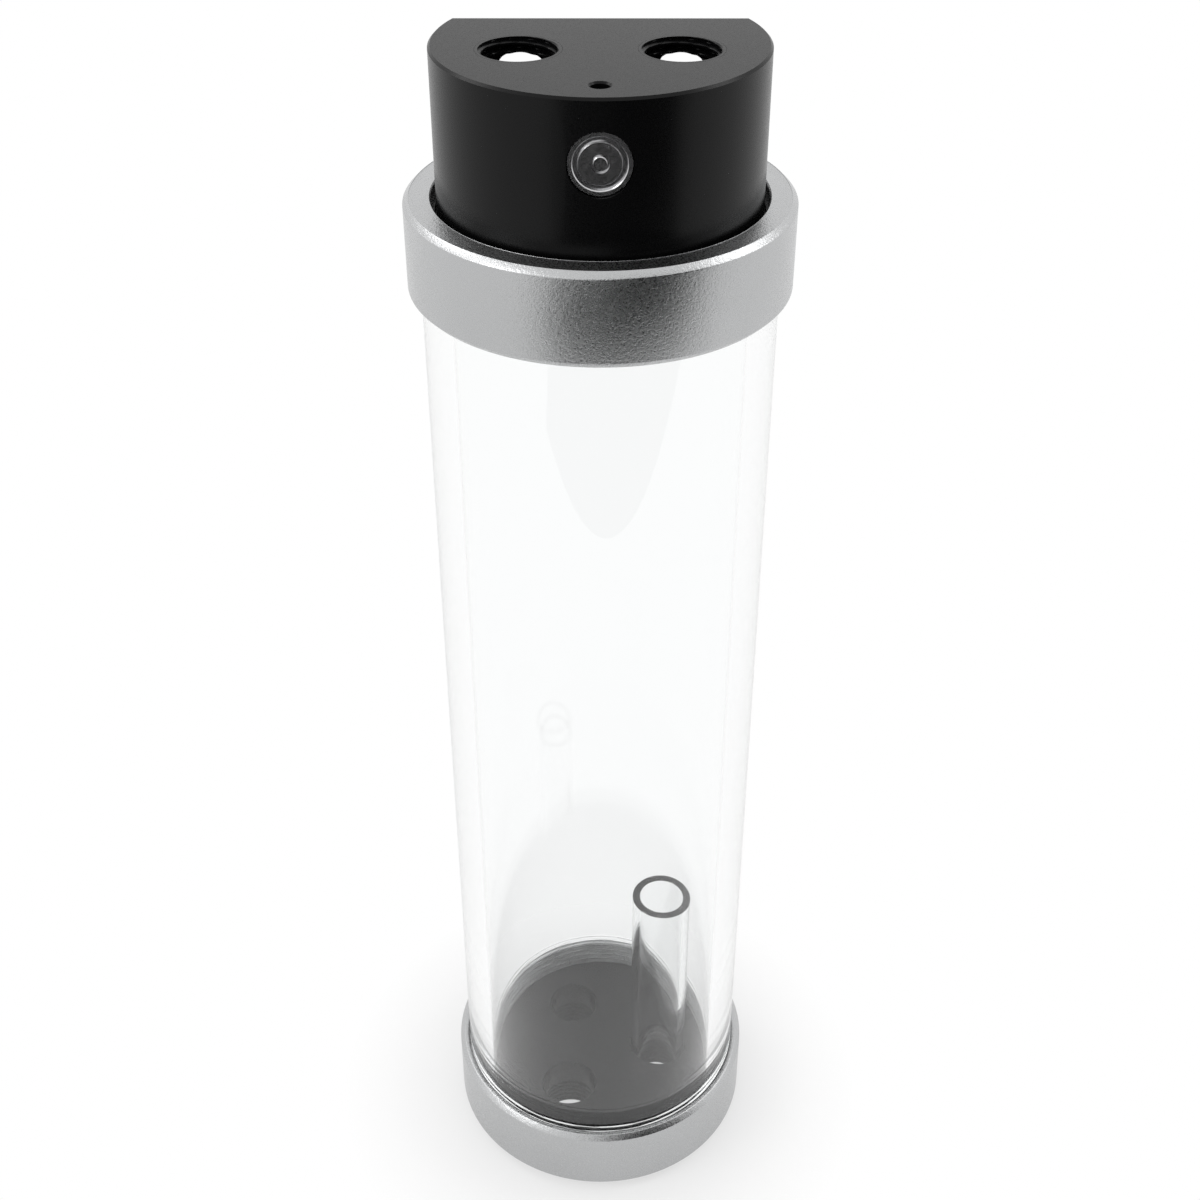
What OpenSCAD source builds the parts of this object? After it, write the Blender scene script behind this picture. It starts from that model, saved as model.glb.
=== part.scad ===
// Cylindrical coolant reservoir for a liquid-cooling loop.
// A clear tube is closed at each end by a plug whose flange sits on the tube's end. A screwed
// metal collar traps the flange through a slip ring and squeezes a face seal. The head plug
// stands up as a D-shaped block with crossing waterways, and the base plug carries the stand pipe.
// Millimetres, +Z up, origin at the centre of the base plug's foot. The block's flat faces +Y.

/* [Tube] */
// Outside diameter of the clear tube
tube_od = 60; // [56:0.5:64]
// Wall of the clear tube
tube_wall = 5; // [4.5:0.25:6]
// Length of the clear tube, end to end
tube_len = 205; // [120:1:300]
// Edge break on the tube's ends
tube_edge = 0.5; // [0.2:0.1:0.8]

/* [Collars] */
// Height of each screwed collar
collar_h = 16; // [14:0.2:22]
// Metal outside the thread of a collar
collar_wall = 2.1; // [1.8:0.1:4]
// Thickness of the lip that traps a flange
lip_t = 2.5; // [1.5:0.1:4]
// Radial reach of the lip over the flange
lip_reach = 2.55; // [2.2:0.05:2.7]
// Size of a collar's outer chamfers
collar_chamfer = 1; // [0.3:0.1:1.2]
// Edge break on a collar's bores
bore_edge = 0.3; // [0.1:0.1:0.6]
// Undercut in the collar around the flange
relief_depth = 0.4; // [0.2:0.1:0.8]
// Radial clearance between collar thread and tube
thread_clear = 0.05; // [0.02:0.01:0.1]

/* [Plugs] */
// Radial gap between a collar's mouth and the plug that stands through it
mouth_gap = 0.8; // [0.5:0.1:1.5]
// Thickness of each plug's flange
flange_t = 2.8; // [2.6:0.1:5]
// Radial clearance between flange and collar thread bore
flange_clear = 0.45; // [0.3:0.05:0.8]
// Thickness of each slip ring
slip_t = 0.8; // [0.5:0.1:1.5]
// Radial clearance of a slip ring around the plug
slip_clear = 0.3; // [0.2:0.05:0.4]
// Height of the spigot that enters the tube
spigot_h = 6.3; // [6:0.1:9]
// Radial clearance of the spigot in the tube
spigot_clear = 0.15; // [0.1:0.05:0.4]
// Edge break on the spigots
spigot_edge = 0.5; // [0.2:0.1:1]
// Height that the foot stands out below the base collar
foot_h = 1.6; // [1:0.1:5]

/* [Face seals] */
// Height of a squeezed face seal
seal_h = 1.6; // [1.2:0.1:1.8]
// Radial width of a squeezed face seal
seal_w = 2.3; // [1.9:0.1:2.6]
// Side gap in a seal groove, each side
seal_gap = 0.1; // [0.05:0.05:0.2]

/* [Head block] */
// Height of the block above the head collar
block_h = 24.2; // [22:0.2:40]
// Depth that the flat cuts off the round block
flat_cut = 14.8; // [12.5:0.1:16]
// Height of the round neck below the flat
ledge_h = 1; // [0.5:0.1:3]
// Edge break around the top of the block
block_edge = 0.4; // [0.2:0.1:1]
// Distance between the two top ports
top_port_gap = 25; // [22:0.1:27]
// Distance of the top ports' axes from the flat back
top_port_setback = 16; // [14.5:0.1:17.5]
// Depth of the threaded part of a top port
top_port_depth = 5; // [4:0.1:5]
// Height of the rear ports' axes below the top of the block
rear_port_drop = 8; // [7.8:0.1:14]
// Depth of the threaded part of a rear port
rear_port_depth = 7.6; // [5:0.1:8]

/* [Ports] */
// Major diameter of the port threads
port_thread_d = 13.16; // [12.9:0.01:13.3]
// Drilled diameter of the waterways
port_drill_d = 11.4; // [10:0.1:12]
// Lead-in chamfer at each port
port_lead = 0.15; // [0.1:0.05:0.3]
// Radius of the circle that the base ports lie on
base_port_r = 13.4; // [12.5:0.1:14.5]
// Number of ports in the base plug
base_port_count = 3; // [2:1:3]
// Depth of the threaded part of a base port
base_port_depth = 7.4; // [5:0.1:7.6]

/* [Badge] */
// Diameter of the badge pocket
badge_d = 10; // [8:0.5:12]
// Depth of the badge pocket from the block's wall
badge_pocket_depth = 8; // [6.5:0.5:9]
// Height of the badge's axis below the top of the block
badge_drop = 9.9; // [8.5:0.1:12]
// Depth of the badge's face behind the block's wall
badge_recess = 0.6; // [0.4:0.1:1.5]
// Width of the badge's raised rim
badge_rim = 0.9; // [0.5:0.1:1.5]
// Depth of the badge's face inside its rim
badge_dish = 0.5; // [0.2:0.1:1]
// Radial clearance of the badge in its pocket
badge_clear = 0.05; // [0.02:0.01:0.15]

/* [Badge screw] */
// Diameter of the screw that holds the badge
screw_d = 3; // [2.5:0.5:4]
// Distance of the screw from the block's front wall
screw_inset = 5.8; // [4:0.1:6]
// Depth of the screw's head end below the top of the block
screw_sink = 1.2; // [0.5:0.1:2]
// Hexagon key size of the screw, across flats
screw_key = 1.5; // [1.3:0.1:1.5]
// Depth of the hexagon socket
screw_key_depth = 1.6; // [0.8:0.1:2]
// Chamfer at the mouth of the screw hole
screw_lead = 0.3; // [0.1:0.05:0.5]

/* [Stand pipe] */
// Outside diameter of the stand pipe
pipe_od = 12.7; // [12:0.1:13]
// Wall of the stand pipe
pipe_wall = 1.6; // [1.2:0.1:2.2]
// Length of the stand pipe
pipe_len = 51.3; // [30:0.1:100]
// Edge break on the stand pipe's ends
pipe_edge = 0.2; // [0.1:0.05:0.4]
// Depth of the socket that the stand pipe seats in
socket_depth = 4.5; // [4:0.1:4.8]
// Radial clearance of the stand pipe in its socket
socket_clear = 0.1; // [0.05:0.05:0.2]
// Thickness of the pipe seal's cord
pipe_seal_d = 1.4; // [1:0.1:1.6]
// Axial width of the pipe seal's groove
pipe_groove_w = 1.9; // [1.7:0.1:2.2]

/* [Hidden] */

$fn = 96;
eps = 0.01;

// Radii that several pieces share
tube_r = tube_od / 2;
tube_bore_r = tube_r - tube_wall;
thread_r = tube_r + thread_clear;
collar_r = thread_r + collar_wall;
mouth_r = thread_r - lip_reach;
flange_r = thread_r - flange_clear;
spigot_r = tube_bore_r - spigot_clear;
block_r = mouth_r - mouth_gap;
pipe_r = pipe_od / 2;
pipe_bore_r = pipe_r - pipe_wall;
socket_r = pipe_r + socket_clear;

// Face seal groove, centred on the tube's wall
seal_r = tube_r - tube_wall / 2;
groove_inner_r = seal_r - seal_w / 2 - seal_gap;
groove_outer_r = seal_r + seal_w / 2 + seal_gap;

// Distance from a collar's mouth to the tube's end
stack_h = lip_t + slip_t + flange_t;

// Levels along the axis, from the foot up
base_mouth_z = foot_h;
tube_z = base_mouth_z + stack_h;
floor_z = tube_z + spigot_h;
tube_top_z = tube_z + tube_len;
head_mouth_z = tube_top_z + stack_h;
top_z = head_mouth_z + block_h;

// Flat back and waterways
flat_y = block_r - flat_cut;
top_port_y = flat_y - top_port_setback;
rear_port_z = top_z - rear_port_drop;
PORT_SIDES = [-1, 1];

// Badge and its screw, in the front of the block
badge_z = top_z - badge_drop;
badge_r = badge_d / 2 - badge_clear;
badge_len = badge_pocket_depth - badge_recess;
screw_y = -block_r + screw_inset;
screw_top_z = top_z - screw_sink;
screw_len = screw_top_z - badge_z - badge_r;

// Stand pipe
pipe_z = floor_z - socket_depth;
pipe_seal_z = pipe_z + socket_depth / 2;

// Solid of revolution from a list of [radius, height] points
module turned(profile) {
    rotate_extrude()
        polygon(profile);
}

// Ring with square edges, standing on z = 0
module washer(outer_r, inner_r, h) {
    difference() {
        cylinder(r = outer_r, h = h);
        translate([0, 0, -eps])
            cylinder(r = inner_r, h = h + 2 * eps);
    }
}

// Tube with its four end edges broken, standing on z = 0
module edged_tube(outer_r, inner_r, h, edge) {
    turned([
        [inner_r + edge, 0], [outer_r - edge, 0], [outer_r, edge],
        [outer_r, h - edge], [outer_r - edge, h], [inner_r + edge, h],
        [inner_r, h - edge], [inner_r, edge],
    ]);
}

// Squeezed face seal with flat faces and round sides, centred on z = 0
module face_seal() {
    reach = (seal_w - seal_h) / 2;
    rotate_extrude() {
        for (side = [-1, 1])
            translate([seal_r + side * reach, 0])
                circle(d = seal_h, $fn = 24);
        translate([seal_r - reach, -seal_h / 2])
            square([2 * reach, seal_h]);
    }
}

// Threaded port seen from its mouth: chamfer and thread run down from z = 0
module port_cut(depth) {
    translate([0, 0, -depth])
        cylinder(d = port_thread_d, h = depth + eps);
    translate([0, 0, -port_lead])
        cylinder(d1 = port_thread_d, d2 = port_thread_d + 2 * port_lead, h = port_lead);
    cylinder(d = port_thread_d + 2 * port_lead, h = eps);
}

// Collar with its mouth on z = 0 and its threaded bore below
module collar() {
    turned([
        [mouth_r + bore_edge, 0],
        [collar_r - collar_chamfer, 0],
        [collar_r, -collar_chamfer],
        [collar_r, collar_chamfer - collar_h],
        [collar_r - collar_chamfer, -collar_h],
        [thread_r + bore_edge, -collar_h],
        [thread_r, bore_edge - collar_h],
        [thread_r, -stack_h - relief_depth],
        [thread_r + relief_depth, -stack_h],
        [thread_r + relief_depth, -lip_t],
        [mouth_r, -lip_t],
        [mouth_r, -bore_edge],
    ]);
}

// Neck, flange with its seal groove, and spigot, with the collar's mouth on z = 0
module plug_stem(neck_top) {
    turned([
        [0, neck_top],
        [block_r, neck_top],
        [block_r, flange_t - stack_h],
        [flange_r, flange_t - stack_h],
        [flange_r, -stack_h],
        [groove_outer_r, -stack_h],
        [groove_outer_r, seal_h - stack_h],
        [groove_inner_r, seal_h - stack_h],
        [groove_inner_r, -stack_h],
        [spigot_r, -stack_h],
        [spigot_r, spigot_edge - stack_h - spigot_h],
        [spigot_r - spigot_edge, -stack_h - spigot_h],
        [0, -stack_h - spigot_h],
    ]);
}

// Everything behind the block's flat, with the top edge of the flat broken
module behind_flat() {
    reach = flat_cut + block_edge;
    translate([-block_r, 0, head_mouth_z])
        rotate([90, 0, 90])
            linear_extrude(height = 2 * block_r)
                polygon([
                    [flat_y, ledge_h],
                    [flat_y + reach, ledge_h],
                    [flat_y + reach, block_h + eps],
                    [flat_y - block_edge, block_h + eps],
                    [flat_y - block_edge, block_h],
                    [flat_y, block_h - block_edge],
                ]);
}

// One top port, the passage down to the tank, and the rear port that crosses it
module waterway(x) {
    translate([x, top_port_y, top_z])
        port_cut(top_port_depth);
    translate([x, top_port_y, tube_top_z - spigot_h - eps])
        cylinder(d = port_drill_d, h = top_z - tube_top_z + spigot_h - port_lead);
    translate([x, flat_y, rear_port_z])
        rotate([-90, 0, 0])
            port_cut(rear_port_depth);
    translate([x, top_port_y, rear_port_z])
        rotate([-90, 0, 0])
            cylinder(d = port_drill_d, h = top_port_setback - port_lead);
}

// Pocket for the badge and the tapped hole for its screw
module badge_cuts() {
    translate([0, badge_pocket_depth - block_r, badge_z])
        rotate([90, 0, 0])
            cylinder(d = badge_d, h = badge_pocket_depth + eps);
    translate([0, screw_y, badge_z])
        cylinder(d = screw_d, h = badge_drop + eps);
    translate([0, screw_y, top_z - screw_lead])
        cylinder(d1 = screw_d, d2 = screw_d + 2 * screw_lead, h = screw_lead);
    translate([0, screw_y, top_z])
        cylinder(d = screw_d + 2 * screw_lead, h = eps);
}

// Black block with the head's waterways, flange and spigot
module head_block() {
    color([0.05, 0.05, 0.055])
        difference() {
            union() {
                translate([0, 0, head_mouth_z])
                    plug_stem(ledge_h);
                translate([0, 0, head_mouth_z])
                    cylinder(r = block_r, h = block_h - block_edge);
                translate([0, 0, top_z - block_edge])
                    cylinder(r1 = block_r, r2 = block_r - block_edge, h = block_edge);
            }
            behind_flat();
            for (side = PORT_SIDES)
                waterway(side * top_port_gap / 2);
            badge_cuts();
        }
}

// Plain round badge with a raised rim and a low dome, let into the front of the block
module head_badge() {
    color([0.72, 0.73, 0.74])
        translate([0, badge_pocket_depth - block_r, badge_z])
            rotate([90, 0, 0])
                turned([
                    [0, 0],
                    [badge_r, 0],
                    [badge_r, badge_len],
                    [badge_r - badge_rim, badge_len],
                    [badge_r - badge_rim - badge_dish, badge_len - badge_dish],
                    [badge_r / 2, badge_len - badge_dish],
                    [badge_r / 4, badge_len - badge_dish / 2],
                    [0, badge_len - badge_dish / 2],
                ]);
}

// Grub screw that bears on the badge's side
module badge_set_screw() {
    color([0.12, 0.12, 0.13])
        translate([0, screw_y, screw_top_z - screw_len])
            difference() {
                cylinder(d = screw_d, h = screw_len);
                translate([0, 0, screw_len - screw_key_depth])
                    cylinder(d = screw_key / cos(30), h = screw_key_depth + eps, $fn = 6);
            }
}

// Screwed collar at the head
module head_collar() {
    color([0.78, 0.79, 0.8])
        translate([0, 0, head_mouth_z])
            collar();
}

// Screwed collar at the base, the same part turned over
module base_collar() {
    color([0.78, 0.79, 0.8])
        translate([0, 0, base_mouth_z])
            mirror([0, 0, 1])
                collar();
}

// Slippery ring between the head collar's lip and the flange
module head_slip_ring() {
    color([0.14, 0.14, 0.15])
        translate([0, 0, head_mouth_z - lip_t - slip_t])
            washer(flange_r, block_r + slip_clear, slip_t);
}

// Slippery ring between the base collar's lip and the flange
module base_slip_ring() {
    color([0.14, 0.14, 0.15])
        translate([0, 0, base_mouth_z + lip_t])
            washer(flange_r, block_r + slip_clear, slip_t);
}

// Seal between the head flange and the tube's upper end
module head_face_seal() {
    color([0.08, 0.08, 0.08])
        translate([0, 0, tube_top_z + seal_h / 2])
            face_seal();
}

// Seal between the base flange and the tube's lower end
module base_face_seal() {
    color([0.08, 0.08, 0.08])
        translate([0, 0, tube_z - seal_h / 2])
            face_seal();
}

// Clear tube
module reservoir_tube() {
    color([0.85, 0.9, 0.92, 0.35])
        translate([0, 0, tube_z])
            edged_tube(tube_r, tube_bore_r, tube_len, tube_edge);
}

// Clear pipe that stands in the first base port
module stand_pipe() {
    color([0.85, 0.9, 0.92, 0.35])
        translate([base_port_r, 0, pipe_z])
            edged_tube(pipe_r, pipe_bore_r, pipe_len, pipe_edge);
}

// Seal around the foot of the stand pipe
module stand_pipe_seal() {
    color([0.08, 0.08, 0.08])
        translate([base_port_r, 0, pipe_seal_z])
            rotate_extrude()
                translate([pipe_r + pipe_seal_d / 2, 0])
                    circle(d = pipe_seal_d, $fn = 24);
}

// One base port: threaded from below, with a bore up to the tank
module base_port(bore_r) {
    mirror([0, 0, 1])
        port_cut(base_port_depth);
    cylinder(r = bore_r, h = floor_z);
    translate([0, 0, floor_z - port_lead])
        cylinder(r1 = bore_r, r2 = bore_r + port_lead, h = port_lead);
    translate([0, 0, floor_z])
        cylinder(r = bore_r + port_lead, h = eps);
}

// Socket and seal groove that take the foot of the stand pipe
module pipe_socket() {
    translate([0, 0, pipe_z])
        cylinder(r = socket_r, h = socket_depth + eps);
    translate([0, 0, floor_z - port_lead])
        cylinder(r1 = socket_r, r2 = socket_r + port_lead, h = port_lead);
    translate([0, 0, pipe_seal_z - pipe_groove_w / 2])
        cylinder(r = pipe_r + pipe_seal_d, h = pipe_groove_w);
}

// Black plug that closes the tube's lower end. Its first port feeds the stand pipe
module base_plug() {
    color([0.07, 0.07, 0.075])
        difference() {
            translate([0, 0, base_mouth_z])
                mirror([0, 0, 1])
                    plug_stem(foot_h);
            translate([base_port_r, 0, 0]) {
                base_port(pipe_bore_r);
                pipe_socket();
            }
            for (i = [1 : base_port_count - 1])
                rotate([0, 0, i * 360 / base_port_count])
                    translate([base_port_r, 0, 0])
                        base_port(port_drill_d / 2);
        }
}

head_block();
head_badge();
badge_set_screw();
head_collar();
head_slip_ring();
head_face_seal();
reservoir_tube();
stand_pipe();
stand_pipe_seal();
base_face_seal();
base_plug();
base_slip_ring();
base_collar();
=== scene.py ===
"""Looks of a clear tubular coolant reservoir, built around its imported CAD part."""

from math import pi, radians

import bpy
import numpy as np
from bpy.props import FloatProperty, FloatVectorProperty, IntProperty, PointerProperty
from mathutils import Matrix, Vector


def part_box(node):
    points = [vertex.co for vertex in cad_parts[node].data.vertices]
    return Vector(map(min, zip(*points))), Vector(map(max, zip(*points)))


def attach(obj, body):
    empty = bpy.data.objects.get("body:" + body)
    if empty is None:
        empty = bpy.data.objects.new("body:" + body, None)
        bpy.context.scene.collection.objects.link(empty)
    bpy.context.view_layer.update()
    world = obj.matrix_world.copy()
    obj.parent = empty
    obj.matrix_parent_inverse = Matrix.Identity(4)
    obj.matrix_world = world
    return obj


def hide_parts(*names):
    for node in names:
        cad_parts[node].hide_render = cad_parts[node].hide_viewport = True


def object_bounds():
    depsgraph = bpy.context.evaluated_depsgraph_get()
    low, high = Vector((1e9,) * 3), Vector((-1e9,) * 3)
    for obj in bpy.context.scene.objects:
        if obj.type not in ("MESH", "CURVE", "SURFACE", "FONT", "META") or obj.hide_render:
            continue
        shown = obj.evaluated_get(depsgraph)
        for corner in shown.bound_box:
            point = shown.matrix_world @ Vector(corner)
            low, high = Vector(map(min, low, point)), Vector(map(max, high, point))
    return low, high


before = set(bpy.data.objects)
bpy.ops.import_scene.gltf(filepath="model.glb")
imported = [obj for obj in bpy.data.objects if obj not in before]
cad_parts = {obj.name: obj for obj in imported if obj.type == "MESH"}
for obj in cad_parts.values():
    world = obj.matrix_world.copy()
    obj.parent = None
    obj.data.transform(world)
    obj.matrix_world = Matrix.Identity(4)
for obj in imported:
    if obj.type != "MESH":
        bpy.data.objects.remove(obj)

bl_info = {
    "name": "Coolant Reservoir",
    "version": (1, 0, 0),
    "blender": (4, 5, 0),
    "location": "3D View > Sidebar > Reservoir",
    "description": "Builds a clear coolant reservoir with threaded collars, ported ends and its stage",
    "category": "Object",
}

CAD_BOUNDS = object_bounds()

# Directions that a port faces
UP = np.array((0.0, 0.0, 1.0))
DOWN = -UP
BACK = np.array((0.0, 1.0, 0.0))
FRONT = -BACK


def span(node):
    """Lowest and highest corner of a CAD node, as arrays."""
    low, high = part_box(node)
    return np.array(low), np.array(high)


# ---------------------------------------------------------------- sizes and colours


class TubeSizes(bpy.types.PropertyGroup):
    """Sizes of the clear tube and of the screw thread at both its ends."""

    wall: FloatProperty(
        name="Wall", description="Thickness of the clear wall", default=0.005, unit="LENGTH"
    )
    edge: FloatProperty(
        name="Edge break", description="Edge break on the tube's ends", default=0.0005, unit="LENGTH"
    )
    pitch: FloatProperty(
        name="Pitch", description="Pitch of the collar thread", default=0.0015, unit="LENGTH"
    )
    depth: FloatProperty(
        name="Thread depth", description="Depth of the cut thread", default=0.0008, unit="LENGTH"
    )
    foot_length: FloatProperty(
        name="Foot thread", description="Length of thread at the foot", default=0.0121, unit="LENGTH"
    )
    head_length: FloatProperty(
        name="Head thread", description="Length of thread at the head", default=0.0105, unit="LENGTH"
    )


class CollarSizes(bpy.types.PropertyGroup):
    """Sizes of the two screwed collars."""

    lip: FloatProperty(
        name="Lip", description="Thickness of the lip at the mouth", default=0.0025, unit="LENGTH"
    )
    wall: FloatProperty(
        name="Wall", description="Metal outside the thread bore", default=0.0021, unit="LENGTH"
    )
    reach: FloatProperty(
        name="Lip reach", description="Radial reach of the lip", default=0.00255, unit="LENGTH"
    )
    stack: FloatProperty(
        name="Stack", description="From the mouth to the tube's end", default=0.0061, unit="LENGTH"
    )
    relief: FloatProperty(
        name="Relief", description="Undercut round the flange", default=0.0004, unit="LENGTH"
    )
    chamfer: FloatProperty(
        name="Chamfer", description="Size of the outer chamfers", default=0.001, unit="LENGTH"
    )
    bore_edge: FloatProperty(
        name="Bore edge", description="Edge break on the bores", default=0.0003, unit="LENGTH"
    )
    round_over: FloatProperty(
        name="Round-over", description="Radius left on edges by blasting", default=0.00012, unit="LENGTH"
    )
    ridge_share: FloatProperty(
        name="Ridge share", description="Share of the groove's depth that the ridge fills", default=0.5
    )


class PortSizes(bpy.types.PropertyGroup):
    """Sizes of the pipe thread in each port."""

    major: FloatProperty(
        name="Major radius", description="Radius at the thread's root", default=0.00658, unit="LENGTH"
    )
    minor: FloatProperty(
        name="Minor radius", description="Radius at the thread's crest", default=0.00572, unit="LENGTH"
    )
    pitch: FloatProperty(
        name="Pitch", description="Pitch of the pipe thread", default=0.001337, unit="LENGTH"
    )
    rim: FloatProperty(
        name="Rim", description="Width of the rim at the mouth", default=0.0003, unit="LENGTH"
    )
    lead: FloatProperty(
        name="Lead", description="Lead-in chamfer of the part's ports", default=0.00015, unit="LENGTH"
    )
    gap: FloatProperty(
        name="Port gap", description="Distance between the ports' axes", default=0.025, unit="LENGTH"
    )
    setback: FloatProperty(
        name="Setback", description="Distance of the top ports from the flat", default=0.016, unit="LENGTH"
    )
    drop: FloatProperty(
        name="Drop", description="Height of the rear ports below the top", default=0.008, unit="LENGTH"
    )
    drill: FloatProperty(
        name="Drill radius", description="Radius of the crossing waterway", default=0.0057, unit="LENGTH"
    )
    top_depth: FloatProperty(
        name="Top depth", description="Threaded depth of a top port", default=0.005, unit="LENGTH"
    )
    rear_depth: FloatProperty(
        name="Rear depth", description="Threaded depth of a rear port", default=0.0076, unit="LENGTH"
    )
    base_depth: FloatProperty(
        name="Base depth", description="Threaded depth of a base port", default=0.0074, unit="LENGTH"
    )
    base_circle: FloatProperty(
        name="Base circle", description="Radius of the circle of base ports", default=0.0134, unit="LENGTH"
    )
    base_count: IntProperty(
        name="Base ports", description="Number of ports in the base", default=3, min=2, max=3
    )


class BadgeSizes(bpy.types.PropertyGroup):
    """Sizes of the plain round badge."""

    rim: FloatProperty(
        name="Rim", description="Width of the raised rim", default=0.0009, unit="LENGTH"
    )
    groove: FloatProperty(
        name="Groove", description="Width of the groove inside the rim", default=0.0007, unit="LENGTH"
    )
    sink: FloatProperty(
        name="Sink", description="Depth of the groove", default=0.0006, unit="LENGTH"
    )
    bevel: FloatProperty(
        name="Bevel", description="Bright bevel on each edge", default=0.00014, unit="LENGTH"
    )


class FinishColours(bpy.types.PropertyGroup):
    """Colours of the finishes."""

    aluminium: FloatVectorProperty(
        name="Aluminium", description="Blasted collars", default=(0.5, 0.505, 0.51), subtype="COLOR"
    )
    acetal: FloatVectorProperty(
        name="Acetal", description="Black head and base", default=(0.0025, 0.0025, 0.0027), subtype="COLOR"
    )
    badge: FloatVectorProperty(
        name="Badge", description="Dark polished badge", default=(0.6, 0.6, 0.61), subtype="COLOR"
    )
    acrylic: FloatVectorProperty(
        name="Acrylic", description="Clear tube and pipe", default=(0.985, 0.99, 0.99), subtype="COLOR"
    )


class StageSizes(bpy.types.PropertyGroup):
    """Camera and light."""

    lens: FloatProperty(
        name="Lens", description="Focal length in millimetres", default=50.706
    )
    distance: FloatProperty(
        name="Distance", description="Camera in front of the axis", default=0.26265, unit="LENGTH"
    )
    aside: FloatProperty(
        name="Aside", description="Camera to the right of the axis", default=0.00039, unit="LENGTH"
    )
    height: FloatProperty(
        name="Height", description="Camera above the foot", default=0.32313, unit="LENGTH"
    )
    pitch: FloatProperty(
        name="Pitch", description="Camera's tilt below level", default=radians(35.285), unit="ROTATION"
    )
    yaw: FloatProperty(
        name="Yaw", description="Camera's turn to the left", default=radians(0.098), unit="ROTATION"
    )
    room: FloatProperty(
        name="Room light", description="Strength of the light from all round", default=0.6
    )
    key: FloatProperty(name="Key", description="Power of the front softbox", default=2.0, unit="POWER")
    fill: FloatProperty(name="Fill", description="Power of the side softboxes", default=1.6, unit="POWER")


class ReservoirSettings(bpy.types.PropertyGroup):
    """All sizes and colours of the reservoir."""

    tube: PointerProperty(type=TubeSizes)
    collar: PointerProperty(type=CollarSizes)
    port: PointerProperty(type=PortSizes)
    badge: PointerProperty(type=BadgeSizes)
    finish: PointerProperty(type=FinishColours)
    stage: PointerProperty(type=StageSizes)


def settings():
    """The scene's reservoir settings."""
    return bpy.context.scene.reservoir


# ---------------------------------------------------------------- shapes


def frame_of(axis):
    """Two unit vectors square to an axis, so that they and it form a right-handed frame."""
    first = np.cross(UP if abs(axis[2]) < 0.9 else BACK, axis)
    first /= np.linalg.norm(first)
    return first, np.cross(axis, first)


def turned_grid(radius, along, origin, axis):
    """Points of a turned surface: origin + radius (cos angle first + sin angle second) + along axis.

    Rows run along the profile and columns go once round. Radius may change with the angle."""
    columns = radius.shape[1]
    angle = np.linspace(0, 2 * pi, columns, endpoint=False)
    first, second = frame_of(axis)
    spoke = np.cos(angle)[:, None] * first + np.sin(angle)[:, None] * second
    points = radius[..., None] * spoke + (along * np.ones_like(radius))[..., None] * axis
    return points + origin


def grid_faces(rows, columns, closed_profile):
    """Four-sided faces between neighbouring grid points, with the last column joined to the first.

    The last row is joined to the first where the profile is closed."""
    row = np.arange(rows if closed_profile else rows - 1)[:, None]
    column = np.arange(columns)[None, :]
    below, above = row * columns, (row + 1) % rows * columns
    right = (column + 1) % columns
    return np.stack([below + column, below + right, above + right, above + column], -1).reshape(-1, 4)


def make_mesh(name, points, faces, caps=()):
    """A mesh object at the origin from points, four-sided faces and lists of points for flat caps."""
    mesh = bpy.data.meshes.new(name)
    mesh.from_pydata(points.reshape(-1, 3).tolist(), [], faces.tolist() + [list(c) for c in caps])
    mesh.validate()
    piece = bpy.data.objects.new(name, mesh)
    bpy.context.scene.collection.objects.link(piece)
    return piece


def smooth(piece, sharp_above=25):
    """Smooth shading, with edges kept sharp where faces meet at more than an angle in degrees."""
    piece.data.shade_smooth()
    piece.data.set_sharp_from_angle(angle=radians(sharp_above))


def ring_piece(name, radius, along, origin=0.0, axis=UP):
    """A closed ring: a closed profile of radius and height, carried once round an axis."""
    points = turned_grid(radius, along, origin, axis)
    rows, columns = radius.shape
    piece = make_mesh(name, points, grid_faces(rows, columns, True))
    smooth(piece)
    return piece


def rounded(corners, fillet, steps=3):
    """A closed outline whose corners are arcs: each corner is left and met one fillet's length away.

    The arc is a quadratic curve from the point before a corner to the point after it.
    A fillet takes less than half of a side, so that two of them never meet."""
    most_of_side = 0.45
    corner = np.array(corners)
    before, after = np.roll(corner, 1, 0), np.roll(corner, -1, 0)

    def towards(other):
        side = other - corner
        length = np.linalg.norm(side, axis=1, keepdims=True)
        return corner + side / length * np.minimum(fillet, most_of_side * length)

    start, end = towards(before)[:, None], towards(after)[:, None]
    t = np.linspace(0, 1, steps + 1)[None, :, None]
    arc = (1 - t) ** 2 * start + 2 * t * (1 - t) * corner[:, None] + t**2 * end
    return arc.reshape(-1, 2)


def thread_wave(along, angle, pitch):
    """Height of a right-hand thread, 0 to 1, flattened at its root and crest.

    It is a cosine of height / pitch - angle / turn, drawn out past 0 and 1 and clipped there."""
    swing = 0.75
    phase = along / pitch - angle / (2 * pi)
    return np.clip(0.5 + swing * np.cos(2 * pi * phase), 0, 1)


def fade(value, start, end):
    """0 up to start and 1 past end, on the way from start to end: 3 t squared - 2 t cubed between."""
    t = np.clip((value - start) / (end - start), 0, 1)
    return t * t * (3 - 2 * t)


def round_angles(columns):
    """Angles of the columns of a grid, as one row."""
    return np.linspace(0, 2 * pi, columns, endpoint=False)[None, :]


# ---------------------------------------------------------------- finishes


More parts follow.
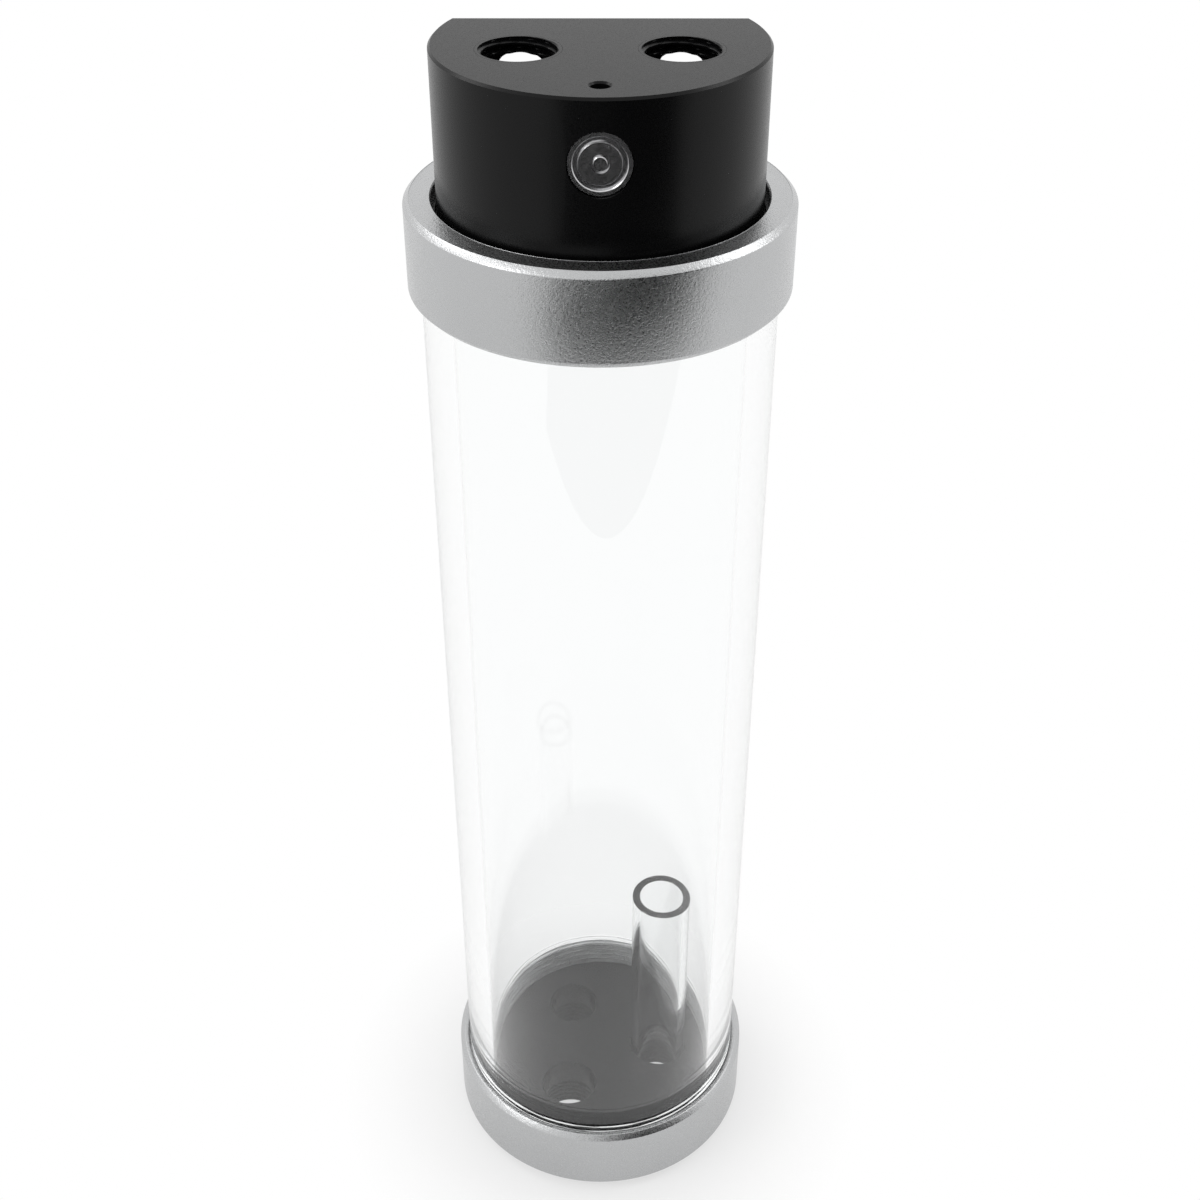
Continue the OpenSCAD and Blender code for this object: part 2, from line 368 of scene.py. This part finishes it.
class Finish:
    """A node material with one Principled shader and short calls to wire it."""

    def __init__(self, name, **inputs):
        self.material = bpy.data.materials.new(name)
        self.material.use_nodes = True
        self.nodes = self.material.node_tree.nodes
        self.links = self.material.node_tree.links
        self.shader = self.nodes["Principled BSDF"]
        for key, value in inputs.items():
            self.shader.inputs[key.replace("_", " ")].default_value = value

    def node(self, kind, settings=None, **inputs):
        """A node with its settings and inputs. An input i0, i1 and so on is named by its number.

        A value that is a socket is linked, and any other value is set."""
        made = self.nodes.new(kind)
        for key, value in (settings or {}).items():
            setattr(made, key, value)
        for key, value in inputs.items():
            numbered = key[0] == "i" and key[1:].isdigit()
            socket = made.inputs[int(key[1:]) if numbered else key]
            if isinstance(value, bpy.types.NodeSocket):
                self.links.new(value, socket)
            else:
                socket.default_value = value
        return made

    def place(self, scale=(1, 1, 1)):
        """Object coordinates, scaled."""
        where = self.node("ShaderNodeTexCoord").outputs["Object"]
        return self.node("ShaderNodeMapping", Vector=where, Scale=scale).outputs[0]

    def noise(self, where, scale, detail=2.0, roughness=0.5):
        """Noise of a scale in cells per metre."""
        texture = "ShaderNodeTexNoise"
        made = self.node(texture, Vector=where, Scale=scale, Detail=detail, Roughness=roughness)
        return made.outputs["Fac"]

    def spread(self, value, low, high, start=0.0, end=1.0):
        """A value that runs from start to end, made to run from low to high."""
        names = {"From Min": start, "From Max": end, "To Min": low, "To Max": high}
        made = self.node("ShaderNodeMapRange", Value=value)
        for key, number in names.items():
            made.inputs[key].default_value = number
        return made.outputs[0]

    def math(self, operation, first, second=0.0):
        """The result of one sum or comparison."""
        return self.node("ShaderNodeMath", {"operation": operation}, i0=first, i1=second).outputs[0]

    def tint(self, factor, dark, light):
        """A colour from dark to light."""
        ramp = self.nodes.new("ShaderNodeValToRGB")
        ramp.color_ramp.elements[0].color = (*dark, 1)
        ramp.color_ramp.elements[1].color = (*light, 1)
        self.links.new(factor, ramp.inputs[0])
        return ramp.outputs[0]

    def bump(self, height, distance, strength=1.0):
        """Bump on the shader, over what is already there."""
        made = self.node("ShaderNodeBump", Height=height, Distance=distance, Strength=strength)
        before = self.shader.inputs["Normal"]
        if before.is_linked:
            self.links.new(before.links[0].from_socket, made.inputs["Normal"])
        self.links.new(made.outputs[0], before)

    def feed(self, socket, value):
        """Drives one of the shader's sockets."""
        self.links.new(value, self.shader.inputs[socket])

    def mix_in(self, factor, other):
        """Shows another shader over the Principled one, by a factor."""
        own = self.shader.outputs[0]
        mix = self.node("ShaderNodeMixShader", i0=factor, i1=own, i2=other).outputs[0]
        self.links.new(mix, self.nodes["Material Output"].inputs["Surface"])


def shade(colour, factor):
    """A colour made darker or lighter."""
    return tuple(min(1.0, c * factor) for c in colour)


def blasted_aluminium(colour):
    """Bead-blasted, clear-anodised aluminium: fine dimples that sparkle, and a faint cloudiness."""
    finish = Finish("collar_finish", Metallic=1.0)
    where = finish.place()
    cloud = finish.noise(where, scale=60.0, detail=3.0)
    dimples = finish.noise(where, scale=1900.0, detail=1.0)
    grain = finish.noise(where, scale=4200.0, roughness=0.6)
    finish.feed("Base Color", finish.tint(cloud, shade(colour, 0.94), shade(colour, 1.05)))
    finish.feed("Roughness", finish.spread(grain, low=0.22, high=0.36, start=0.3, end=0.7))
    finish.bump(dimples, distance=0.00005, strength=0.6)
    finish.bump(grain, distance=0.00005, strength=0.9)
    return finish.material


def satin_acetal(colour):
    """Black acetal as machined: satin, with a very fine grain and faint turning marks."""
    finish = Finish("acetal_finish", Specular_IOR_Level=0.17)
    where = finish.place()
    cloud = finish.noise(where, scale=90.0, detail=3.0)
    grain = finish.noise(where, scale=3500.0)
    finish.feed("Base Color", finish.tint(cloud, shade(colour, 0.8), shade(colour, 1.5)))
    finish.feed("Roughness", finish.spread(grain, low=0.24, high=0.33, start=0.3, end=0.7))
    rings = finish.node(
        "ShaderNodeTexWave",
        {"wave_type": "BANDS", "bands_direction": "Z"},
        Vector=where, Scale=900.0, Distortion=0.4, Detail=1.0,
    ).outputs["Fac"]
    finish.bump(rings, distance=0.0000006, strength=0.5)
    finish.bump(grain, distance=0.000001, strength=0.6)
    return finish.material


def clear_acrylic(name, colour, marked):
    """Polished clear acrylic, with the faint ripple of a drawn tube.

    Where it is marked, its attribute "cut" says where a thread was cut and left it hazy."""
    finish = Finish(name, Transmission_Weight=1.0, IOR=1.49, Base_Color=(*colour, 1), Roughness=0.0)
    where = finish.place()
    drawn_out = finish.place((1, 1, 0.15))
    ripple = finish.noise(drawn_out, scale=55.0, detail=1.0)
    finish.bump(ripple, distance=0.00002, strength=0.35)
    if marked:
        cut = finish.node("ShaderNodeAttribute", {"attribute_name": "cut"}).outputs["Fac"]
        scratch = finish.spread(finish.noise(where, scale=2500.0), low=0.1, high=0.3)
        finish.feed("Roughness", finish.math("MULTIPLY", cut, scratch))
    else:
        wear = finish.noise(where, scale=700.0)
        finish.feed("Roughness", finish.spread(wear, low=0.0, high=0.02, start=0.5, end=0.8))
    return finish.material


def dark_badge_metal(colour):
    """Plated badge: polished, with a fine even grain."""
    finish = Finish("badge_finish", Metallic=1.0)
    grain = finish.noise(finish.place(), scale=2600.0)
    finish.feed("Base Color", finish.tint(grain, shade(colour, 0.85), shade(colour, 1.2)))
    finish.feed("Roughness", finish.spread(grain, low=0.18, high=0.3))
    finish.bump(grain, distance=0.000006, strength=0.5)
    return finish.material


def black_oxide():
    """Blackened steel of the badge screw."""
    finish = Finish("screw_finish", Metallic=0.8)
    grain = finish.noise(finish.place(), scale=3000.0)
    finish.feed("Base Color", finish.tint(grain, dark=(0.02, 0.02, 0.022), light=(0.05, 0.05, 0.055)))
    finish.feed("Roughness", finish.spread(grain, low=0.35, high=0.55))
    return finish.material


def seal_rubber():
    """Black moulded seal rubber."""
    finish = Finish("rubber_finish", Specular_IOR_Level=0.35)
    grain = finish.noise(finish.place(), scale=2200.0)
    tone = finish.tint(grain, dark=(0.012, 0.012, 0.012), light=(0.022, 0.022, 0.022))
    finish.feed("Base Color", tone)
    finish.feed("Roughness", finish.spread(grain, low=0.5, high=0.65))
    finish.bump(grain, distance=0.000005, strength=0.5)
    return finish.material


def slip_polymer():
    """Dark low-friction plastic of the slip rings."""
    finish = Finish("slip_finish", Specular_IOR_Level=0.4)
    grain = finish.noise(finish.place(), scale=1800.0)
    tone = finish.tint(grain, dark=(0.02, 0.02, 0.021), light=(0.035, 0.035, 0.037))
    finish.feed("Base Color", tone)
    finish.feed("Roughness", finish.spread(grain, low=0.4, high=0.55))
    return finish.material


def dress(piece, material):
    """Gives a piece one material."""
    if piece.material_slots:
        piece.material_slots[0].material = material
    else:
        piece.data.materials.append(material)


def shared_material(name, maker, *values):
    """A material by name, made once."""
    return bpy.data.materials.get(name) or maker(*values)


def metal():
    """The collars' metal."""
    return shared_material("collar_finish", blasted_aluminium, settings().finish.aluminium)


def acetal():
    """The plastic of the head block, the base plug and their threads."""
    return shared_material("acetal_finish", satin_acetal, settings().finish.acetal)


# ---------------------------------------------------------------- pieces


class RESERVOIR_OT_tube(bpy.types.Operator):
    """Builds the clear tube with a screw thread cut in both its ends"""

    bl_idname = "reservoir.tube"
    bl_label = "Clear tube"
    columns = 256
    rows_per_pitch = 15
    plain_rows = 12

    def levels(self, start, end):
        """Heights of the rows that carry a thread."""
        rows = int(self.rows_per_pitch * (end - start) / settings().tube.pitch)
        return np.linspace(start, end, rows)

    def execute(self, context):
        """Radius = profile - share of the full thread x thread depth x thread wave."""
        size = settings().tube
        low, high = span("reservoir_tube")
        outer, bore = high[0], high[0] - size.wall
        bottom, top = low[2], high[2]
        lower = self.levels(bottom + size.edge, bottom + size.foot_length)
        upper = self.levels(top - size.head_length, top - size.edge)
        guard = size.pitch / self.rows_per_pitch
        plain = np.linspace(lower[-1] + guard, upper[0] - guard, self.plain_rows)
        wall = np.concatenate([lower, plain, upper])
        foot = [(bore + size.edge, bottom), (outer - size.edge, bottom)]
        outside = np.stack([np.full(len(wall), outer), wall], 1)
        head = [(outer - size.edge, top), (bore + size.edge, top)]
        inside = [(bore, top - size.edge), (bore, bottom + size.edge)]
        profile = np.concatenate([foot, outside, head, inside])
        runout = size.pitch / 2
        cut = np.maximum(
            fade(wall - bottom, size.foot_length, size.foot_length - runout),
            fade(top - wall, size.head_length, size.head_length - runout),
        )
        share = np.pad(cut, (len(foot), len(head) + len(inside)))[:, None]
        level = profile[:, 1:]
        wave = thread_wave(level, round_angles(self.columns), size.pitch)
        tube = ring_piece("clear_tube", profile[:, :1] - share * size.depth * wave, level)
        flag = tube.data.attributes.new("cut", "FLOAT", "POINT")
        flag.data.foreach_set("value", np.repeat(share, self.columns, 1).ravel())
        dress(tube, clear_acrylic("tube_finish", settings().finish.acrylic, marked=True))
        tube.visible_shadow = False
        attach(tube, "vessel")
        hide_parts("reservoir_tube")
        return {"FINISHED"}


class RESERVOIR_OT_collars(bpy.types.Operator):
    """Builds the two blasted collars with their inside threads"""

    bl_idname = "reservoir.collars"
    bl_label = "Screwed collars"
    columns = 256
    rows_per_pitch = 15

    def build(self, name, node, body, mouth, far):
        """A collar from its mouth to its far end, both given as heights.

        Its profile goes out over the mouth, along the outside and back through the threaded bore.
        Radius = profile - share of a full ridge x ridge height x thread wave. Where the collar hangs
        down from its mouth, the profile is read backwards, so that its faces point outwards."""
        size, tube = settings().collar, settings().tube
        outer = span(node)[1][0]
        thread = outer - size.wall
        opening = thread - size.reach
        run = np.sign(far - mouth)
        height = abs(far - mouth)
        outline = rounded(
            [
                (outer - size.chamfer, 0), (outer, size.chamfer),
                (outer, height - size.chamfer), (outer - size.chamfer, height),
                (thread + size.bore_edge, height),
            ],
            size.round_over,
        )
        # The last arc turns back to the first corner, so its second half goes
        outline = outline[:-2]
        crest, root = height - size.bore_edge, size.stack + size.relief
        count = int(self.rows_per_pitch * (crest - size.stack) / tube.pitch)
        threaded = np.linspace(crest, root, count)
        inside = np.stack([np.full(count, thread), threaded], 1)
        mouth_part = rounded(
            [
                (thread + size.relief, size.stack), (thread + size.relief, size.lip),
                (opening, size.lip), (opening, size.bore_edge), (opening + size.bore_edge, 0),
            ],
            size.round_over / 2,
        )
        profile = np.concatenate([outline, inside, mouth_part])
        full = np.minimum(
            fade(threaded, root, root + tube.pitch),
            fade(threaded, crest, crest - tube.pitch / 2),
        )
        share = np.pad(full, (len(outline), len(mouth_part)))[:, None]
        along = mouth + run * profile[:, 1:]
        wave = thread_wave(along, round_angles(self.columns), tube.pitch)
        radius = profile[:, :1] - share * tube.depth * size.ridge_share * wave
        if run < 0:
            radius, along = radius[::-1], along[::-1]
        collar = ring_piece(name, radius, along)
        dress(collar, metal())
        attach(collar, body)
        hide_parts(node)

    def execute(self, context):
        head, base = span("head_collar"), span("base_collar")
        self.build("head_collar_ring", "head_collar", "head_nut", head[1][2], head[0][2])
        self.build("base_collar_ring", "base_collar", "base_nut", base[0][2], base[1][2])
        return {"FINISHED"}


class RESERVOIR_OT_port_threads(bpy.types.Operator):
    """Lines every port with its pipe thread"""

    bl_idname = "reservoir.port_threads"
    bl_label = "Port threads"
    columns = 120
    rows_per_pitch = 14
    drill_sides = 96
    bedding = 0.00003

    def line(self, name, mouth, axis, depth, body):
        """A thread lining that starts at a port's mouth and runs inwards, bedded into the port's wall.

        Radius = root - thread height x the least of the wave, the chamfered start and the run-out."""
        size = settings().port
        rows = int(self.rows_per_pitch * depth / size.pitch)
        inward = np.linspace(0, depth, rows)[:, None]
        wave = thread_wave(-inward, round_angles(self.columns), size.pitch)
        root = size.major - self.bedding
        height = size.major - size.minor
        start = np.clip((inward + size.rim) / height, 0, 1)
        finish = np.clip((depth - inward) / (height / 2), 0, 1)
        radius = root - np.minimum(height * wave, height * np.minimum(start, finish))
        radius[0] = root - size.rim
        seat = size.major + self.bedding + np.array([[0.0], [0.0], [size.lead]]) * np.ones(self.columns)
        along = np.concatenate([-inward, [[-depth], [-size.lead], [0.0]]])
        lining = ring_piece(name, np.concatenate([radius, seat]), along, mouth, axis)
        dress(lining, acetal())
        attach(lining, body)
        return lining

    def drill_through(self, lining, centre, reach):
        """Cuts the crossing waterway out of a lining: a round bar from the port's axis to the back."""
        size = settings().port
        sides = self.drill_sides
        along = np.array([[0.0], [reach]])
        radius = np.full((2, sides), size.drill)
        points = turned_grid(radius, along, centre, BACK)
        caps = (range(sides - 1, -1, -1), range(sides, 2 * sides))
        drill = make_mesh("waterway_drill", points, grid_faces(2, sides, False), caps)
        cut = lining.modifiers.new("Waterway", "BOOLEAN")
        cut.operation = "DIFFERENCE"
        cut.solver = "EXACT"
        cut.object = drill
        graph = bpy.context.evaluated_depsgraph_get()
        opened = bpy.data.meshes.new_from_object(lining.evaluated_get(graph))
        lining.modifiers.clear()
        lining.data = opened
        smooth(lining)
        bpy.data.objects.remove(drill)

    def execute(self, context):
        size = settings().port
        top = span("head_block")[1][2]
        flat = self.flat_back()
        top_y = flat - size.setback
        rear_z = top - size.drop
        for side, word in ((-1, "left"), (1, "right")):
            x = side * size.gap / 2
            mouth = np.array((x, top_y, top))
            lining = self.line("top_thread_" + word, mouth, UP, size.top_depth, "head")
            self.drill_through(lining, np.array((x, top_y, rear_z)), size.setback)
            rear = np.array((x, flat, rear_z))
            self.line("rear_thread_" + word, rear, BACK, size.rear_depth, "head")
        for index in range(size.base_count):
            turn = 2 * pi * index / size.base_count
            spot = size.base_circle * np.array((np.cos(turn), np.sin(turn), 0.0))
            self.line(f"base_thread_{index + 1}", spot, DOWN, size.base_depth, "vessel")
        return {"FINISHED"}

    def flat_back(self):
        """The flat's place: the furthest point to the back, in the block's upper half over the collar."""
        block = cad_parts["head_block"].data
        points = np.zeros(len(block.vertices) * 3)
        block.vertices.foreach_get("co", points)
        points = points.reshape(-1, 3)
        middle = (span("head_collar")[1][2] + points[:, 2].max()) / 2
        return points[points[:, 2] > middle, 1].max()


class RESERVOIR_OT_badge(bpy.types.Operator):
    """Builds the plain round badge with its rim, groove and raised disc"""

    bl_idname = "reservoir.badge"
    bl_label = "Badge"
    columns = 128

    def execute(self, context):
        """A stepped profile carried once round the badge's axis, with a flat cap at each end."""
        size = settings().badge
        low, high = span("head_badge")
        centre = (low + high) / 2
        outer = (high[0] - low[0]) / 2
        length = high[1] - low[1]
        disc = outer - size.rim - size.groove
        stud = disc / 3
        profile = np.array([
            (outer, 0), (outer, length - size.bevel), (outer - size.bevel, length),
            (outer - size.rim + size.bevel, length), (outer - size.rim, length - size.bevel),
            (outer - size.rim, length - size.sink), (disc, length - size.sink),
            (disc, length - 2 * size.bevel), (disc - size.bevel, length - size.bevel),
            (stud + size.groove / 2, length - size.bevel), (stud + size.groove / 2, length - size.sink),
            (stud, length - size.sink), (stud, length - 2 * size.bevel),
            (stud - size.bevel, length - size.bevel), (size.bevel, length - size.bevel),
        ])
        radius = np.repeat(profile[:, :1], self.columns, 1)
        back = np.array((centre[0], high[1], centre[2]))
        points = turned_grid(radius, profile[:, 1:], back, FRONT)
        rows = len(profile)
        faces = grid_faces(rows, self.columns, False)
        last = (rows - 1) * self.columns
        caps = (range(self.columns - 1, -1, -1), range(last, last + self.columns))
        badge = make_mesh("round_badge", points, faces, caps)
        smooth(badge)
        dress(badge, dark_badge_metal(settings().finish.badge))
        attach(badge, "head")
        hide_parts("head_badge")
        return {"FINISHED"}


class RESERVOIR_OT_finishes(bpy.types.Operator):
    """Gives the solids that stay from the CAD part their finishes"""

    bl_idname = "reservoir.finishes"
    bl_label = "Finishes"

    def execute(self, context):
        rubber, slip = seal_rubber(), slip_polymer()
        finishes = {
            "head_block": acetal(),
            "base_plug": acetal(),
            "badge_set_screw": black_oxide(),
            "head_slip_ring": slip,
            "base_slip_ring": slip,
            "head_face_seal": rubber,
            "base_face_seal": rubber,
            "stand_pipe_seal": rubber,
            "stand_pipe": clear_acrylic("pipe_finish", settings().finish.acrylic, marked=False),
        }
        for node, material in finishes.items():
            dress(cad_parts[node], material)
        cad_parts["stand_pipe"].visible_shadow = False
        return {"FINISHED"}


# ---------------------------------------------------------------- stage


class RESERVOIR_OT_stage(bpy.types.Operator):
    """Sets the floor, the black cards, the soft lights, the white room and the camera"""

    bl_idname = "reservoir.stage"
    bl_label = "Stage"
    floor_reach = 4.0

    # Corners of the cards: a low one in front, just over the floor, and a tall one to the right
    card_lift = 0.004
    low_card = ((-0.2, -0.3), (-0.62, -1.4), (1.6, -1.4), (0.36, -0.26))
    tall_card = ((0.06, -0.75), (0.8, -0.45))
    tall_card_top = 0.95

    softbox_width = 0.4
    key_place = (-0.8, -0.35, 0.85)
    left_place = (-0.75, 0.35, 0.95)
    right_place = (0.85, 0.15, 0.9)

    def seen_white(self, finish):
        """1 for rays that show the background: camera, mirror and see-through rays."""
        path = finish.node("ShaderNodeLightPath").outputs
        some = finish.math("MAXIMUM", path["Is Camera Ray"], path["Is Glossy Ray"])
        return finish.math("MAXIMUM", some, path["Is Transmission Ray"])

    def floor(self):
        """A wide pale floor that shows white and keeps a light shadow, with its glow dimmed near the base
        as painted shade.
        """
        points = np.array([(-1, -1, 0), (1, -1, 0), (1, 1, 0), (-1, 1, 0)]) * self.floor_reach
        floor = make_mesh("floor", points, np.array([[0, 1, 2, 3]]))
        finish = Finish("floor_white", Base_Color=(0.85, 0.85, 0.85, 1), Roughness=0.9)
        distance = finish.node("ShaderNodeVectorMath", {"operation": "LENGTH"}, Vector=finish.place())
        # Painted shade round the base: the white glow falls to 0.6 within 3 cm of the axis and is back to
        # full by 6 cm
        clear = finish.spread(distance.outputs["Value"], low=0.6, high=1.0, start=0.03, end=0.06)
        glow = finish.node("ShaderNodeEmission", Color=(1, 1, 1, 1), Strength=1.0).outputs[0]
        finish.mix_in(finish.math("MULTIPLY", self.seen_white(finish), clear), glow)
        dress(floor, finish.material)

    def shade_card(self, name, corners):
        """A black card that only mirrors see, and not through the clear acrylic."""
        card = make_mesh(name, np.array(corners), np.array([[0, 1, 2, 3]]))
        finish = Finish(name, Base_Color=(0.01, 0.01, 0.01, 1), Roughness=1.0, Specular_IOR_Level=0.0)
        depth = finish.node("ShaderNodeLightPath").outputs["Transmission Depth"]
        through_acrylic = finish.math("GREATER_THAN", depth, 0.5)
        finish.mix_in(through_acrylic, finish.node("ShaderNodeBsdfTransparent").outputs[0])
        dress(card, finish.material)
        for kind in ("camera", "diffuse", "transmission", "shadow"):
            setattr(card, "visible_" + kind, False)

    def softbox(self, name, place, power):
        """A square lamp aimed at the middle of the reservoir."""
        lamp = bpy.data.lights.new(name, "AREA")
        lamp.shape = "SQUARE"
        lamp.size = self.softbox_width
        lamp.energy = power
        piece = bpy.data.objects.new(name, lamp)
        bpy.context.scene.collection.objects.link(piece)
        piece.location = place
        aim = piece.location.copy()
        aim.z -= CAD_BOUNDS[1].z / 2
        piece.rotation_euler = aim.to_track_quat("Z", "Y").to_euler()

    def room(self):
        """A world that shows white behind everything and lights at a plain level."""
        world = bpy.data.worlds.new("room")
        world.use_nodes = True
        bpy.context.scene.world = world
        nodes, links = world.node_tree.nodes, world.node_tree.links
        background = nodes["Background"]
        path = nodes.new("ShaderNodeLightPath")
        value = path.outputs["Is Camera Ray"]
        for kind in ("Is Glossy Ray", "Is Transmission Ray"):
            join = nodes.new("ShaderNodeMath")
            join.operation = "MAXIMUM"
            links.new(value, join.inputs[0])
            links.new(path.outputs[kind], join.inputs[1])
            value = join.outputs[0]
        level = nodes.new("ShaderNodeMapRange")
        level.inputs["To Min"].default_value = settings().stage.room
        level.inputs["To Max"].default_value = 1.0
        links.new(value, level.inputs["Value"])
        background.inputs["Color"].default_value = (1, 1, 1, 1)
        links.new(level.outputs[0], background.inputs["Strength"])

    def camera(self):
        """A camera in front of the reservoir, a little above it and tilted down."""
        size = settings().stage
        lens = bpy.data.cameras.new("camera")
        lens.lens = size.lens
        lens.sensor_width = 36.0
        lens.clip_start = 0.01
        lens.clip_end = 50.0
        camera = bpy.data.objects.new("camera", lens)
        bpy.context.scene.collection.objects.link(camera)
        camera.location = (size.aside, -size.distance, size.height)
        camera.rotation_euler = (pi / 2 - size.pitch, 0.0, size.yaw)
        bpy.context.scene.camera = camera

    def execute(self, context):
        size = settings().stage
        self.floor()
        near, far = self.tall_card
        top = self.tall_card_top
        self.shade_card("shade_low", [(x, y, self.card_lift) for x, y in self.low_card])
        self.shade_card("shade_tall", [(*near, 0), (*far, 0), (*far, top), (*near, top)])
        self.softbox("key_softbox", self.key_place, size.key)
        self.softbox("left_softbox", self.left_place, size.fill)
        self.softbox("right_softbox", self.right_place, size.fill)
        self.room()
        self.camera()
        bpy.context.scene.view_settings.view_transform = "Standard"
        return {"FINISHED"}


class RESERVOIR_PT_panel(bpy.types.Panel):
    """Lists the reservoir's operators and sizes"""

    bl_idname = "RESERVOIR_PT_panel"
    bl_label = "Coolant reservoir"
    bl_space_type = "VIEW_3D"
    bl_region_type = "UI"
    bl_category = "Reservoir"

    def draw(self, context):
        for operator in STEPS:
            self.layout.operator(operator.bl_idname)
        for group in ("tube", "collar", "port", "badge", "finish", "stage"):
            box = self.layout.box()
            box.label(text=group.capitalize())
            values = getattr(settings(), group)
            for name in type(values).__annotations__:
                box.prop(values, name)


STEPS = (
    RESERVOIR_OT_tube,
    RESERVOIR_OT_collars,
    RESERVOIR_OT_port_threads,
    RESERVOIR_OT_badge,
    RESERVOIR_OT_finishes,
    RESERVOIR_OT_stage,
)
GROUPS = (TubeSizes, CollarSizes, PortSizes, BadgeSizes, FinishColours, StageSizes, ReservoirSettings)
CLASSES = GROUPS + STEPS + (RESERVOIR_PT_panel,)


def register():
    """Adds the reservoir's settings, operators and panel."""
    for item in CLASSES:
        bpy.utils.register_class(item)
    bpy.types.Scene.reservoir = PointerProperty(type=ReservoirSettings)


def unregister():
    """Takes them away again."""
    del bpy.types.Scene.reservoir
    for item in reversed(CLASSES):
        bpy.utils.unregister_class(item)


def main():
    """Builds everything."""
    register()
    for step in STEPS:
        group, name = step.bl_idname.split(".")
        getattr(getattr(bpy.ops, group), name)()


if __name__ == "__main__":
    main()
